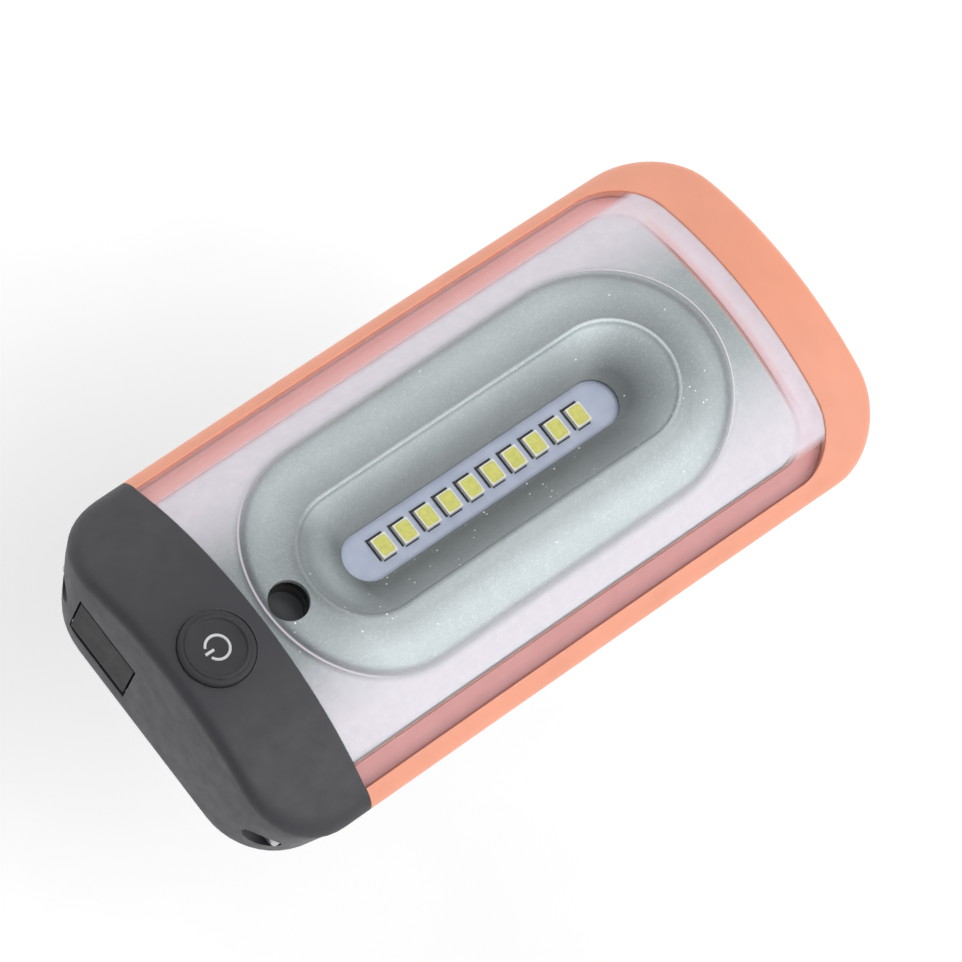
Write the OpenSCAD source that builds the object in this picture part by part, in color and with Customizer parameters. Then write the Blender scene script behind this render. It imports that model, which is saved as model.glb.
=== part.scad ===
// Compact rechargeable LED work light.
// Long axis is X, the light faces +Z, and it rests on its rubber feet at Z = 0.
// The black switch end is at -X. The row of LEDs is centred on X = 0, Y = 0.

/* [Body] */
// Overall length of the light
body_length = 124; // [122:1:128]
// Overall width of the light
body_width = 62; // [61:0.5:63]
// Plan radius of the four corners
corner_r = 12; // [10:0.5:14]
// Radius of the lower edges
keel_r = 5; // [3:0.5:5]
// Wall thickness of the moulded shells
wall = 2; // [1.8:0.1:2.2]
// Radius of the crown across the body
crown_r = 51.6; // [50:0.2:54]
// Radius of the long shallow crown along the body
crown_long_r = 1200; // [1000:50:1500]
// Angle that the long side walls lean in below their widest line
side_draft = 12; // [9:1:13]
// Height where the front housing meets the back cover
split_z = 9; // [8:0.5:9]

/* [Light] */
// Number of LEDs in the row
led_count = 10; // [6:1:11]
// Spacing of the LEDs
led_pitch = 4.33; // [4:0.01:4.4]
// Height of the LED board's top face
board_top = 22; // [21.5:0.1:22.2]
// Length of the opening at the bottom of the reflector well
window_length = 53.5; // [52:0.5:55]
// Width of the opening at the bottom of the reflector well
window_width = 8.2; // [7.6:0.1:8.6]
// Length of the clear raised bubble of the lens
bubble_length = 88; // [86:0.5:89]
// Width of the clear raised bubble of the lens
bubble_width = 41; // [40:0.5:42]
// Diameter of the indicator hole in the reflector
indicator_d = 6.5; // [6:0.1:6.6]

/* [Stand and hook] */
// Length of the fold-out stand from its pin to its free end
stand_length = 56; // [50:1:57]
// Width of the fold-out stand
stand_width = 30; // [28:1:30]
// Thickness of the fold-out stand
stand_thickness = 3; // [2.6:0.1:3]
// Wire diameter of the hanging hook
hook_wire = 2.5; // [2.2:0.1:2.6]
// Bend radius of the hanging hook, to the wire's centre
hook_r = 6; // [5:0.5:6]

/* [Button] */
// Diameter of the power button
button_d = 12; // [11:0.5:12.5]
// Travel of the power button
button_travel = 0.8; // [0.4:0.1:0.8]

/* [Hidden] */
$fn = 64;
eps = 0.01;

half_length = body_length / 2;
half_width = body_width / 2;
cover_bottom = 1;
crown_centre_z = 30.35 - crown_r;
crown_axis_z = crown_centre_z + crown_r - crown_long_r;
top_z = 34;
widest_z = 18.2;
gap = 0.1;

// Ends of the shells along X
joint_x = -45;
lens_end_x = 52;
opening_end_x = 48;
lens_half = 28.5;
opening_half = 24.5;

// Distances of the layered front surfaces from the crown's centre line
lens_reach = crown_r - 0.3;
bubble_reach = crown_r + 0.6;
lens_thickness = 1.5;
gasket_thickness = 0.5;
gasket_top = lens_reach - lens_thickness - gap / 2;
seat_reach = gasket_top - gasket_thickness - gap / 2;
plateau_reach = crown_r - 1;
flange_reach = lens_reach - lens_thickness - 0.2;
reflector_wall = 1.5;

// Stack under the reflector
board_thickness = 1.6;
pad_thickness = 0.5;
spreader_thickness = 2;
spreader_x0 = -30.5;
spreader_x1 = 34;
spreader_half = 19;
board_bottom = board_top - board_thickness;
pad_bottom = board_bottom - pad_thickness;
spreader_bottom = pad_bottom - spreader_thickness;
board_length = 60;
board_width = 28;
board_screw_x = 22;
board_screw_y = 10.5;
well_bottom = board_top + 0.3;
well_rim = board_top + 6.2;
skirt_bottom = 17;
rim_half_wide = 10.7;
rim_half_long = 36.3;

// One LED package: 2.8 by 3.5 mm, with a thin rim round its pocket
led_half_x = 1.4;
led_half_y = 1.75;
led_rim = 0.22;
led_height = 0.8;

// Driver board and what stands on it
driver_x0 = -58;
driver_x1 = -19;
driver_half = 19;
driver_bottom = 12;
driver_top = 13.2;
indicator_x = -39.6;
shroud_bottom = 15.6;
shroud_top = 25.6;
button_x = -53.5;
button_roof = 27.4;
button_top = 30.3;
button_flange_r = button_d / 2 + 1;
button_flange_h = 1.2;
switch_top = driver_top + 3.6;
plunger_r = 1.7;
plunger_top = switch_top + 1.05;
stem_bottom = plunger_top + 0.05;
port_y = 12.5;
port_z = driver_top + 1.65;
port_x = -58.8;
port_half = 4.5;
port_height = 3.2;

// Port cover and its pin
flap_axis_x = -half_length + 1;
flap_axis_z = 9.2;
flap_half = 6.5;
flap_thickness = 1.4;
flap_top = 18;
flap_barrel_r = 1;
flap_pin_r = 0.5;
flap_pin_half = 8;

// Battery
battery_x0 = -16;
battery_x1 = 34;
battery_half = 17;
battery_bottom = 7.2;
battery_top = 15.2;

// Stand and hook, folded into the back
recess_roof = 5.2;
recess_skin = 1.5;
pivot_z = 3.2;
stand_axis_x = -35;
stand_half = stand_width / 2;
stand_barrel_r = 1.8;
stand_pin_r = 1.25;
stand_pin_half = stand_half + 2.6;
stand_recess_half = stand_half + 0.5;
stand_recess_x0 = stand_axis_x - 3.2;
stand_recess_x1 = stand_axis_x + stand_length + 1;
magnet_r = 6;
magnet_thickness = 2;
magnet_x = stand_axis_x + 42;
magnet_y = 7.5;
hook_axis_x = 56;
hook_ring_x = hook_axis_x - 15;
hook_wire_r = hook_wire / 2;
hook_hub_r = 1.7;
hook_pivot_half = 10.6;
hook_recess_half = 9;
hook_sweep = 230;

// Fasteners and feet
case_screw_x = [-27, 38];
case_screw_y = 22.6;
case_screw_r = 1.25;
case_head_r = 2.4;
case_boss_r = 3;
cover_boss_r = 3.6;
board_post_r = 2;
board_post_x = -50;
boss_top = 16.5;
end_screw_y = 24.3;
end_screw_z = 11.5;
end_boss_r = 3.7;
end_screw_r = 1.25;
end_head_r = 2.3;
end_head_x = -56.5;
end_boss_end = -36;
foot_r = 3;
foot_x = [-41, 50];
foot_y = 20;

// ---------- shared shapes ----------

// Plan outline between two X positions, with its own corner radius at each end (0 is square)
module plan(x0, x1, half, r0, r1) {
  translate([x0 + r0, -half]) square([x1 - x0 - r0 - r1, 2 * half]);
  if (r0 > 0) plan_end(x0 + r0, half, r0, -1);
  if (r1 > 0) plan_end(x1 - r1, half, r1, 1);
}

// Rounded end of a plan outline, reaching r beyond x towards side
module plan_end(x, half, r, side) {
  translate([side > 0 ? x : x - r, -(half - r)]) square([r, 2 * (half - r)]);
  for (y = [-1, 1]) translate([x, y * (half - r)]) circle(r = r);
}

// Stadium outline along X, given by its overall half length and half width
module stadium(half_long, half_wide) {
  spine = half_long - half_wide;
  square([2 * spine, 2 * half_wide], center = true);
  for (x = [-spine, spine]) translate([x, 0]) circle(r = half_wide);
}

// Everything within reach of the crown's centre line: its top is the crowned front of the light
module crown(reach) {
  translate([0, 0, crown_axis_z])
    rotate([90, 0, 0])
      rotate_extrude($fn = 720)
        translate([crown_long_r - crown_r, 0])
          circle(r = reach, $fn = 180);
}

// Profile whose sides lean in, reach half at widest_z, and end in rounded lower corners
module keel_profile(half, bottom, r, draft) {
  foot = half - (widest_z - bottom) * tan(draft);
  flat = foot - r * tan((90 - draft) / 2);
  touch = [flat + r * cos(draft), bottom + r * (1 - sin(draft))];
  high = half + (top_z - widest_z) * tan(draft);
  polygon([
    [-high, top_z], [-touch.x, touch.y], [-flat, bottom],
    [flat, bottom], touch, [high, top_z]
  ]);
  for (s = [-1, 1]) translate([s * flat, bottom + r]) circle(r = r);
}

// Solid shape of the whole light, shrunk by an inset, with its front at the given reach
module body_block(inset = 0, reach = crown_r) {
  intersection() {
    linear_extrude(height = top_z)
      plan(-half_length + inset, half_length - inset, half_width - inset,
           corner_r - inset, corner_r - inset);
    crown(reach);
    rotate([90, 0, 90])
      linear_extrude(height = body_length, center = true)
        keel_profile(half_width - inset, cover_bottom + inset, keel_r - inset / 2, side_draft);
    rotate([90, 0, 0])
      linear_extrude(height = body_width, center = true)
        keel_profile(half_length - inset, cover_bottom + inset, keel_r - inset / 2, 0);
  }
}

// Box between two corners
module box(x0, x1, y0, y1, z0, z1) {
  translate([x0, y0, z0]) cube([x1 - x0, y1 - y0, z1 - z0]);
}

// Upright cylinder from z0 to z1
module post(x, y, z0, z1, r) {
  translate([x, y, z0]) cylinder(r = r, h = z1 - z0);
}

// Cylinder along X from x0 to x1
module rod_x(x0, x1, y, z, r) {
  translate([x0, y, z]) rotate([0, 90, 0]) cylinder(r = r, h = x1 - x0);
}

// Cylinder along Y from y0 to y1
module rod_y(x, y0, y1, z, r) {
  translate([x, y1, z]) rotate([90, 0, 0]) cylinder(r = r, h = y1 - y0);
}

// Repeats its children mirrored across the centre plane
module both_sides() {
  children();
  mirror([0, 1, 0]) children();
}

// ---------- casing ----------

module housing() color("#e79f86") {
  cavity_half = half_width - wall - 0.8;
  difference() {
    union() {
      difference() {
        intersection() {
          body_block();
          box(joint_x, half_length + 1, -half_width, half_width, split_z, top_z);
        }
        // The cavity's sides stand upright just under its crowned roof
        intersection() {
          body_block(inset = wall, reach = seat_reach - wall);
          box(joint_x - 1, half_length, -cavity_half, cavity_half, 0, top_z);
        }
        difference() {
          linear_extrude(height = top_z)
            plan(joint_x - 1, lens_end_x + gap, lens_half + gap, 0, corner_r - 3);
          crown(seat_reach);
        }
        linear_extrude(height = top_z)
          plan(joint_x - 1, opening_end_x, opening_half, 0, corner_r - 6);
      }
      both_sides() housing_bosses();
    }
    both_sides() {
      for (x = case_screw_x) post(x, case_screw_y, split_z - 1, boss_top - 2, case_screw_r + 0.03);
      rod_x(joint_x - 1, end_boss_end - 2, end_screw_y, end_screw_z, end_screw_r + 0.03);
    }
  }
}

// Screw bosses on one side of the housing, with ribs that tie them to the side wall
module housing_bosses() {
  rib_half = 0.9;
  rib_end = half_width - wall - 0.5;
  for (x = case_screw_x) {
    post(x, case_screw_y, split_z, boss_top, case_boss_r);
    box(x - rib_half, x + rib_half, case_screw_y + 2, rib_end, split_z, boss_top - 0.5);
  }
  rod_x(joint_x, end_boss_end, end_screw_y, end_screw_z, end_boss_r);
}

module back_cover() color("#3a3b3f") {
  difference() {
    union() {
      difference() {
        intersection() {
          body_block();
          box(joint_x, half_length + 1, -half_width, half_width, 0, split_z - gap / 2);
        }
        body_block(inset = wall);
      }
      intersection() {
        body_block();
        recess_boxes();
      }
      both_sides() {
        for (x = case_screw_x)
          post(x, case_screw_y, cover_bottom + wall - 0.2, split_z - gap / 2, cover_boss_r);
        post(driver_x1 - 4, driver_half - board_post_r, cover_bottom + 1, driver_bottom - gap / 2, board_post_r);
      }
    }
    stand_recess();
    hook_recess();
    both_sides() {
      for (x = case_screw_x) {
        post(x, case_screw_y, 0, 3.6, case_head_r + 0.2);
        post(x, case_screw_y, 0, split_z + 1, case_screw_r + 0.15);
      }
      for (x = foot_x) post(x, foot_y, 0, cover_bottom + 0.6, foot_r + 0.05);
    }
  }
}

// Inside skins that close the stand and hook recesses
module recess_boxes() {
  roof = recess_roof + recess_skin;
  box(stand_recess_x0 - recess_skin, stand_recess_x1 + recess_skin,
      -stand_recess_half - recess_skin, stand_recess_half + recess_skin, 2, roof);
  box(stand_recess_x0 - recess_skin, stand_axis_x + 4, -stand_pin_half - 1.2, stand_pin_half + 1.2, 2, roof);
  box(hook_ring_x - hook_recess_half - recess_skin, half_length,
      -hook_pivot_half - 1.2, hook_pivot_half + 1.2, 2, roof);
}

module stand_recess() {
  box(stand_recess_x0, stand_recess_x1, -stand_recess_half, stand_recess_half, 0, recess_roof);
  rod_y(stand_axis_x, -stand_pin_half - gap, stand_pin_half + gap, pivot_z, stand_pin_r + 0.02);
  // Thumb notch beside the stand's free end
  post(stand_recess_x1 - 6, stand_recess_half, 0, cover_bottom + 1.2, 5);
}

module hook_recess() {
  stem_y = -hook_r;
  slot_half = hook_wire_r + 0.6;
  post(hook_ring_x, 0, 0, recess_roof, hook_recess_half);
  box(hook_ring_x, hook_axis_x + 2.6, stem_y - slot_half, stem_y + slot_half, 0, recess_roof);
  box(hook_axis_x - 2.6, hook_axis_x + 2.6, -hook_recess_half, hook_recess_half, 0, recess_roof);
  // Slot in the end wall that the stem swings out through
  box(hook_axis_x, half_length + 1, stem_y - slot_half, stem_y + slot_half, 0, pivot_z + slot_half);
  rod_y(hook_axis_x, -hook_pivot_half - gap, hook_pivot_half + gap, pivot_z, hook_wire_r + 0.06);
}

module end_cap() color("#37373c") {
  difference() {
    union() {
      intersection() {
        difference() {
          body_block();
          body_block(inset = wall, reach = crown_r - wall);
        }
        box(-half_length - 1, joint_x - gap, -half_width, half_width, 0, top_z);
      }
      intersection() {
        body_block();
        end_cap_inside();
      }
    }
    post(button_x, 0, 15, top_z, button_d / 2 + gap);
    post(button_x, 0, 17, button_roof, button_flange_r + 0.3);
    port_recess();
    both_sides() {
      rod_x(-half_length - 1, end_head_x, end_screw_y, end_screw_z, end_head_r + 0.3);
      rod_x(-half_length - 1, joint_x + 1, end_screw_y, end_screw_z, end_screw_r + 0.15);
    }
  }
}

// Screw bosses, board posts and the thick pad behind the charging port
module end_cap_inside() {
  both_sides() {
    rod_x(-half_length, joint_x - gap, end_screw_y, end_screw_z, end_boss_r);
    post(board_post_x, driver_half - 3, cover_bottom + 1, driver_bottom - gap / 2, board_post_r);
  }
  box(-half_length, driver_x0 - 0.4, port_y - flap_half - 2.5, port_y + flap_half + 2.5,
      cover_bottom + keel_r, flap_top + 1.5);
}

// Recess for the port cover, its pin holes and the opening for the plug
module port_recess() {
  floor_x = -half_length + flap_thickness + 0.2;
  box(-half_length - 1, floor_x, port_y - flap_half - 0.4, port_y + flap_half + 0.4,
      flap_axis_z - 1.3, flap_top + 0.4);
  rod_y(flap_axis_x, port_y - flap_half - 0.4, port_y + flap_half + 0.4, flap_axis_z, flap_barrel_r + 0.3);
  rod_y(flap_axis_x, port_y - flap_pin_half - gap, port_y + flap_pin_half + gap, flap_axis_z, flap_pin_r + 0.02);
  box(-half_length, driver_x0, port_y - port_half - 0.6, port_y + port_half + 0.6,
      port_z - port_height / 2 - 0.6, port_z + port_height / 2 + 0.6);
}

// ---------- optics ----------

module lens() color("#e8ecef", 0.35) {
  difference() {
    union() {
      intersection() {
        linear_extrude(height = top_z) plan(joint_x + gap, lens_end_x, lens_half, 0, corner_r - 3.1);
        crown(lens_reach);
      }
      intersection() {
        linear_extrude(height = top_z) stadium(bubble_length / 2, bubble_width / 2);
        crown(bubble_reach);
      }
    }
    crown(lens_reach - lens_thickness);
    intersection() {
      linear_extrude(height = top_z) stadium(bubble_length / 2 - 1.4, bubble_width / 2 - 1.4);
      crown(bubble_reach - lens_thickness);
    }
  }
}

module lens_gasket() color("#e79e96") {
  intersection() {
    difference() {
      crown(gasket_top);
      crown(gasket_top - gasket_thickness);
    }
    translate([0, 0, 10])
      linear_extrude(height = top_z - 10)
        difference() {
          plan(joint_x + 0.3, lens_end_x - 0.5, lens_half - 0.5, 0, corner_r - 4);
          plan(joint_x - 1, opening_end_x + 0.4, opening_half + 0.4, 0, corner_r - 6);
        }
  }
}

module reflector() color("#b7c0c2") {
  difference() {
    union() {
      difference() {
        union() {
          reflector_skirt(0);
          reflector_plateau();
        }
        reflector_skirt(reflector_wall);
      }
      intersection() {
        reflector_plateau();
        well(reflector_wall);
      }
    }
    well(0);
    post(indicator_x, 0, skirt_bottom, top_z, indicator_d / 2);
  }
}

// Flanged skirt of the reflector, shrunk by an inset
module reflector_skirt(inset) {
  intersection() {
    translate([0, 0, skirt_bottom - inset])
      linear_extrude(height = top_z)
        plan(joint_x + gap + inset, opening_end_x - 0.2 - inset, opening_half - 0.3 - inset,
             0, corner_r - 6.2 - inset);
    crown(flange_reach - inset);
  }
}

// Raised oval of the reflector around the well
module reflector_plateau() {
  intersection() {
    translate([0, 0, well_bottom])
      linear_extrude(height = top_z)
        stadium(bubble_length / 2 - 1.7, bubble_width / 2 - 1.7);
    crown(plateau_reach);
  }
}

// Flared stadium well around the LEDs, grown by a wall thickness
module well(grow) {
  rim_extra = 3.7;
  flare = (rim_half_wide - window_width / 2) / (well_rim - well_bottom);
  end_flare = (rim_half_long - window_length / 2) / (well_rim - well_bottom);
  depth = well_rim + rim_extra - well_bottom;
  start = grow > 0 ? 0 : -0.4;
  hull() {
    translate([0, 0, well_bottom + start])
      linear_extrude(height = eps)
        stadium(window_length / 2 + grow, window_width / 2 + grow);
    translate([0, 0, well_bottom])
      linear_extrude(height = eps)
        stadium(window_length / 2 + grow, window_width / 2 + grow);
    translate([0, 0, well_bottom + depth])
      linear_extrude(height = eps)
        stadium(window_length / 2 + end_flare * depth + grow, window_width / 2 + flare * depth + grow);
  }
}

module led_board() color("#c9cfe0") {
  difference() {
    box(-board_length / 2, board_length / 2, -board_width / 2, board_width / 2, board_bottom, board_top);
    board_screw_holes(board_bottom - 1, board_top + 1, 1.15);
  }
}

// Four holes for the board's screws
module board_screw_holes(z0, z1, r) {
  for (x = [-board_screw_x, board_screw_x])
    for (y = [-board_screw_y, board_screw_y])
      post(x, y, z0, z1, r);
}

// Repeats its children at each LED along the row
module at_each_led() {
  for (i = [0 : led_count - 1])
    translate([(i - (led_count - 1) / 2) * led_pitch, 0, board_top])
      children();
}

module led_packages() color("#eef0ee") {
  at_each_led() difference() {
    box(-led_half_x, led_half_x, -led_half_y, led_half_y, 0, led_height);
    translate([0, 0, 0.3]) linear_extrude(height = 1) phosphor_outline(0);
  }
}

module led_phosphors() color("#bcba5e") {
  at_each_led() translate([0, 0, 0.32]) linear_extrude(height = 0.44) phosphor_outline(0.02);
}

// Rounded pocket of one LED, shrunk by an inset
module phosphor_outline(inset) {
  half_x = led_half_x - led_rim - inset;
  half_y = led_half_y - led_rim - inset;
  r = 0.45;
  square([2 * half_x, 2 * (half_y - r)], center = true);
  square([2 * (half_x - r), 2 * half_y], center = true);
  for (x = [-1, 1])
    for (y = [-1, 1])
      translate([x * (half_x - r), y * (half_y - r)]) circle(r = r, $fn = 24);
}

module board_screws() color("silver") {
  for (x = [-board_screw_x, board_screw_x])
    for (y = [-board_screw_y, board_screw_y]) {
      difference() {
        post(x, y, board_top, board_top + 1.2, 1.9);
        translate([x - 0.25, y - 1.5, board_top + 0.6]) cube([0.5, 3, 1]);
      }
      post(x, y, spreader_bottom + 0.2, board_top, 1);
    }
}

module thermal_pad() color("#8f98a6") {
  difference() {
    box(-board_length / 2 + 1, board_length / 2 - 1, -board_width / 2 + 1, board_width / 2 - 1,
        pad_bottom, board_bottom);
    board_screw_holes(pad_bottom - 1, board_bottom + 1, 1.3);
  }
}

module heat_spreader() color("#c8cacc") {
  difference() {
    box(spreader_x0, spreader_x1, -spreader_half, spreader_half, spreader_bottom, pad_bottom);
    board_screw_holes(spreader_bottom - 1, pad_bottom + 1, 1.04);
  }
}

// ---------- electronics ----------

module driver_board() color("#1f5c3a") {
  box(driver_x0, driver_x1, -driver_half, driver_half, driver_bottom, driver_top);
}

module driver_components() color("#2b2b2e") {
  top = driver_top + 0.02;
  inductor = [-28, -12];
  inductor_r = 3.6;
  inductor_height = 3.4;
  can = [-38, -13];
  can_r = 2.5;
  can_height = 4;
  chip_height = 1.2;
  small_x = -36;
  small_y = 13;
  small_size = 1.6;
  small_pitch = 2.6;
  difference() {
    post(inductor.x, inductor.y, top, top + inductor_height, inductor_r);
    post(inductor.x, inductor.y, top + inductor_height - 0.6, top + inductor_height + 1, inductor_r - 1.6);
  }
  post(can.x, can.y, top, top + can_height, can_r);
  // Driver chip by the inductor, and charger chip by the port
  box(-31, -26, -3, 1, top, top + chip_height);
  box(-49, -45, -13, -9, top, top + chip_height);
  // Row of small capacitors and resistors
  for (i = [0 : 4])
    translate([small_x + small_pitch * i, small_y, top]) cube([small_size, small_size, small_size / 2]);
}

module usb_port() color("silver") {
  translate([port_x, port_y, port_z]) rotate([90, 0, 90]) {
    difference() {
      linear_extrude(height = 7.3) rounded_slot(port_half, port_height / 2);
      translate([0, 0, -1]) linear_extrude(height = 7.5) rounded_slot(port_half - 0.35, port_height / 2 - 0.35);
    }
    translate([-3.3, -0.35, 0.6]) cube([6.6, 0.7, 6.3]);
  }
}

// Slot outline with round ends
module rounded_slot(half_long, r) {
  square([2 * (half_long - r), 2 * r], center = true);
  for (s = [-1, 1]) translate([s * (half_long - r), 0]) circle(r = r, $fn = 32);
}

module switch_body() color("#222226") {
  difference() {
    box(button_x - 3, button_x + 3, -3, 3, driver_top + 0.02, switch_top);
    post(button_x, 0, driver_top + 0.7, switch_top + 1, plunger_r + 0.08);
  }
}

module switch_plunger() color("#a03028") {
  post(button_x, 0, driver_top + 0.75 + button_travel, plunger_top, plunger_r);
}

module power_button() color("#2c2c30") {
  z0 = button_roof - gap;
  dome_r = 24;
  post(button_x, 0, z0 - button_flange_h, z0, button_flange_r);
  post(button_x, 0, stem_bottom, z0, 2);
  intersection() {
    post(button_x, 0, z0 - eps, top_z, button_d / 2);
    translate([button_x, 0, button_top - dome_r]) sphere(r = dome_r, $fn = 180);
  }
}

module indicator_shroud() color("#1a1a1c") {
  difference() {
    post(indicator_x, 0, shroud_bottom, shroud_top, indicator_d / 2 + 0.5);
    post(indicator_x, 0, shroud_bottom - 1, shroud_top + 1, indicator_d / 2 - gap);
  }
}

module indicator_window() color("#3c4046") {
  post(indicator_x, 0, shroud_top - 2.6, shroud_top - 1.6, indicator_d / 2 - gap - 0.02);
}

module indicator_led() color("#f2f2ea") {
  box(indicator_x - 1.6, indicator_x + 1.6, -0.8, 0.8, driver_top + 0.02, driver_top + 1.2);
}

module battery_cell() color("#9aa2aa") {
  r = 2.5;
  translate([battery_x0, 0, 0])
    rotate([90, 0, 90])
      linear_extrude(height = battery_x1 - battery_x0) {
        translate([-battery_half + r, battery_bottom])
          square([2 * (battery_half - r), battery_top - battery_bottom]);
        translate([-battery_half, battery_bottom + r])
          square([2 * battery_half, battery_top - battery_bottom - 2 * r]);
        for (s = [-1, 1])
          for (h = [battery_bottom + r, battery_top - r])
            translate([s * (battery_half - r), h]) circle(r = r);
      }
}

module battery_pad() color("#d9d3c2") {
  box(battery_x0 + 3, battery_x1 - 3, -battery_half + 3, battery_half - 3,
      recess_roof + recess_skin + 0.02, battery_bottom - 0.02);
}

module protection_board() color("#24543a") {
  box(battery_x0 - 1.4, battery_x0 - 0.2, -14, 14, battery_bottom + 0.5, battery_top - 2.5);
}

// Red and black lead from the protection board to the driver board
module cell_wires() {
  for (s = [-1, 1])
    color(s > 0 ? "#b02020" : "#202022") {
      rod_x(driver_x1 - 3, battery_x0 - 1.9, 6 * s, 14.4, 0.6);
      translate([battery_x0 - 1.9, 6 * s, 14.4]) sphere(r = 0.6, $fn = 32);
      post(battery_x0 - 1.9, 6 * s, 11, 14.4, 0.45);
      translate([driver_x1 - 3, 6 * s, 14.4]) sphere(r = 0.6, $fn = 32);
      post(driver_x1 - 3, 6 * s, driver_top + 0.02, 14.4, 0.45);
    }
}

// Red and black lead from the driver board up to the LED board
module led_wires() {
  rise_x = -32;
  land_x = -28.4;
  high = board_top + 1;
  for (s = [-1, 1])
    color(s > 0 ? "#b02020" : "#202022") {
      post(rise_x, 9 * s, driver_top + 0.02, high, 0.6);
      translate([rise_x, 9 * s, high]) sphere(r = 0.6, $fn = 32);
      rod_x(rise_x, land_x, 9 * s, high, 0.6);
      translate([land_x, 9 * s, high]) sphere(r = 0.6, $fn = 32);
      post(land_x, 9 * s, board_top + 0.02, high, 0.45);
    }
}

// ---------- moving parts ----------

module port_cover() color("#2a2a2e") {
  difference() {
    union() {
      box(-half_length, -half_length + flap_thickness, port_y - flap_half, port_y + flap_half,
          flap_axis_z, flap_top);
      rod_y(flap_axis_x, port_y - flap_half, port_y + flap_half, flap_axis_z, flap_barrel_r);
      box(-half_length + flap_thickness - eps, port_x - 0.3, port_y - 4.3, port_y + 4.3,
          port_z - 1.3, port_z + 1.3);
      // Finger lip across the top of the cover
      rod_y(-half_length + 0.2, port_y - 3, port_y + 3, flap_top - 1, 0.7);
    }
    rod_y(flap_axis_x, port_y - flap_half - 1, port_y + flap_half + 1, flap_axis_z, flap_pin_r + 0.05);
    box(-half_length - 1, -half_length, port_y - flap_half, port_y + flap_half, flap_axis_z - 2, flap_top);
  }
}

module port_cover_pin() color("silver") {
  rod_y(flap_axis_x, port_y - flap_pin_half, port_y + flap_pin_half, flap_axis_z, flap_pin_r);
}

module stand() color("#313135") {
  z0 = pivot_z - stand_thickness / 2;
  z1 = pivot_z + stand_thickness / 2;
  difference() {
    union() {
      translate([stand_axis_x, 0, z0])
        linear_extrude(height = z1 - z0)
          plan(0, stand_length, stand_half, 0, 6);
      rod_y(stand_axis_x, -stand_half, stand_half, pivot_z, stand_barrel_r);
    }
    rod_y(stand_axis_x, -stand_half - 1, stand_half + 1, pivot_z, stand_pin_r + 0.06);
    // Window that lightens the plate
    translate([stand_axis_x + 19, 0, z0 - 1])
      linear_extrude(height = stand_thickness + 2)
        stadium(11, 8);
    for (y = [-magnet_y, magnet_y]) post(magnet_x, y, z0 - 1, z0 + magnet_thickness, magnet_r + 0.05);
  }
}

module stand_pin() color("silver") {
  rod_y(stand_axis_x, -stand_pin_half, stand_pin_half, pivot_z, stand_pin_r);
}

module stand_magnets() color("#c4c6c8") {
  z0 = pivot_z - stand_thickness / 2;
  for (y = [-magnet_y, magnet_y]) post(magnet_x, y, z0, z0 + magnet_thickness - 0.05, magnet_r);
}

module hang_hook() color("#b9bcc0") {
  rod_y(hook_axis_x, -hook_pivot_half, hook_pivot_half, pivot_z, hook_wire_r);
  rod_y(hook_axis_x, -hook_r - 2.5, -hook_r + 2.5, pivot_z, hook_hub_r);
  rod_x(hook_ring_x - 0.5, hook_axis_x, -hook_r, pivot_z, hook_wire_r + 0.05);
  // The wire curls from the stem round to an open mouth
  translate([hook_ring_x, 0, pivot_z])
    rotate([0, 0, -90 - hook_sweep])
      rotate_extrude(angle = hook_sweep, $fn = 96)
        translate([hook_r, 0])
          circle(r = hook_wire_r);
}

// ---------- fasteners and feet ----------

module case_screws() color("#8a8c90") {
  both_sides() for (x = case_screw_x) {
    difference() {
      post(x, case_screw_y, 1.7, 3.55, case_head_r);
      cross_recess(x, case_screw_y, 1.7);
    }
    post(x, case_screw_y, 3.5, 13.5, case_screw_r);
  }
}

// Crossed driver slot in a screw head that faces down
module cross_recess(x, y, z) {
  for (a = [0, 90]) translate([x, y, z]) rotate([0, 0, a]) cube([2.6, 0.6, 1.6], center = true);
}

module end_cap_screws() color("#8a8c90") {
  both_sides() {
    difference() {
      rod_x(end_head_x - 1.7, end_head_x - 0.05, end_screw_y, end_screw_z, end_head_r);
      translate([end_head_x - 1.7, end_screw_y, end_screw_z])
        for (a = [0, 90]) rotate([a, 0, 0]) cube([1.6, 2.6, 0.6], center = true);
    }
    rod_x(end_head_x - 0.1, end_boss_end - 3, end_screw_y, end_screw_z, end_screw_r);
  }
}

module rubber_feet() color("#202022") {
  both_sides() for (x = foot_x) post(x, foot_y, 0, cover_bottom + 0.55, foot_r);
}

housing();
back_cover();
end_cap();
lens();
lens_gasket();
reflector();
led_board();
led_packages();
led_phosphors();
board_screws();
thermal_pad();
heat_spreader();
driver_board();
driver_components();
usb_port();
port_cover();
port_cover_pin();
power_button();
switch_body();
switch_plunger();
indicator_shroud();
indicator_window();
indicator_led();
battery_cell();
battery_pad();
protection_board();
cell_wires();
led_wires();
stand();
stand_pin();
stand_magnets();
hang_hook();
case_screws();
end_cap_screws();
rubber_feet();
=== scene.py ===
"""Looks for the compact LED work light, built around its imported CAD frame. Lengths are in metres."""
import math
import random

import bmesh
import bpy
from mathutils import Matrix, Vector


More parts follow.
